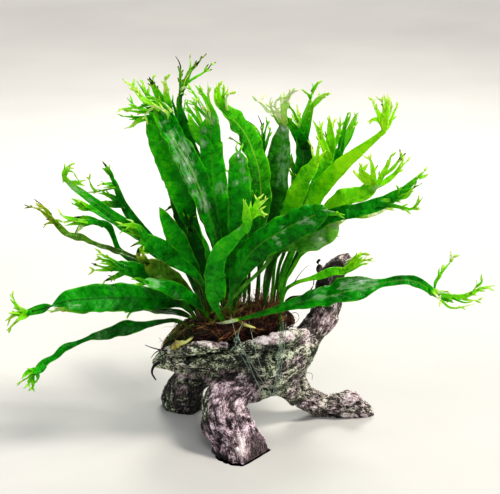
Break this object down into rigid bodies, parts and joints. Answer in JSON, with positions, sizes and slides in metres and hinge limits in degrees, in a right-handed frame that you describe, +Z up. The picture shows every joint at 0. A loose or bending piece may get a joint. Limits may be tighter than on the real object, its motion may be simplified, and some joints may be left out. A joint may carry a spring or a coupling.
{
  "type": "java fern on driftwood",
  "caption": "Java fern with forked, crested frond tips, tied by fishing line to a legged piece of driftwood with an upright branch; stands on an aquarium floor as planting and cover.",
  "frame": {"origin": "on the floor, under the middle of the whole object's box", "axes": "+X to the right and along the driftwood log, +Y away from the viewer of the front, +Z up"},
  "size_m": [0.2379, 0.1347, 0.1943],
  "materials": {
    "driftwood": "rough, ridged and pitted wet wood, mottled from pinkish grey to near black",
    "roots": "matted dark red-brown root fibres",
    "rhizome": "smooth olive-yellow creeping stem",
    "fishing_line": "clear pale green nylon line",
    "frond_green": "wet, satin, leathery green blade with raised veins",
    "frond_fresh": "wet, satin, thin yellow-green young blade",
    "frond_olive": "wet, satin, ageing olive-brown blade",
    "frond_pale": "wet, satin, pale underside of a blade"
  },
  "bodies": {
    "root": {"driftwood_branch": "driftwood", "driftwood_front_leg": "driftwood", "driftwood_left_leg": "driftwood", "driftwood_log": "driftwood", "driftwood_right_leg": "driftwood", "frond_back_centre": "frond_green", "frond_back_left": "frond_green", "frond_back_left_far": "frond_green", "frond_back_left_mid": "frond_fresh", "frond_back_low": "frond_fresh", "frond_back_low_left": "frond_green", "frond_back_mid_high": "frond_green", "frond_back_right": "frond_green", "frond_back_right_far": "frond_green", "frond_back_tall": "frond_green", "frond_back_tall_left": "frond_green", "frond_behind_tall_left": "frond_green", "frond_bright_mid": "frond_fresh", "frond_broad_dark": "frond_green", "frond_centre_dark": "frond_green", "frond_centre_front": "frond_fresh", "frond_front_wet": "frond_green", "frond_left_arching": "frond_green", "frond_left_brown": "frond_olive", "frond_left_dark_wide": "frond_green", "frond_left_drooping": "frond_green", "frond_left_high": "frond_green", "frond_left_high_back": "frond_green", "frond_left_long_thin": "frond_olive", "frond_left_low": "frond_green", "frond_left_pale": "frond_pale", "frond_left_upright_dark": "frond_green", "frond_left_wavy": "frond_green", "frond_left_wide": "frond_green", "frond_long_dark_right": "frond_green", "frond_long_right": "frond_green", "frond_pale_under": "frond_pale", "frond_right_broad": "frond_fresh", "frond_right_fan_left": "frond_fresh", "frond_right_fan_right": "frond_green", "frond_small_right": "frond_fresh", "frond_tall_centre": "frond_green", "frond_tall_curled": "frond_fresh", "frond_tall_left": "frond_green", "frond_tall_left_front": "frond_green", "frond_tall_top": "frond_green", "frond_upper_arched": "frond_green", "frond_upper_back": "frond_green", "frond_upper_forked": "frond_green", "frond_upright_lance": "frond_fresh", "frond_upright_lance_dark": "frond_green", "frond_yellow_long": "frond_fresh", "rhizome_left": "rhizome", "rhizome_main": "rhizome", "rhizome_tip": "rhizome", "root_mat": "roots", "tie_line_left": "fishing_line", "tie_line_right": "fishing_line"}
  },
  "joints": []
}
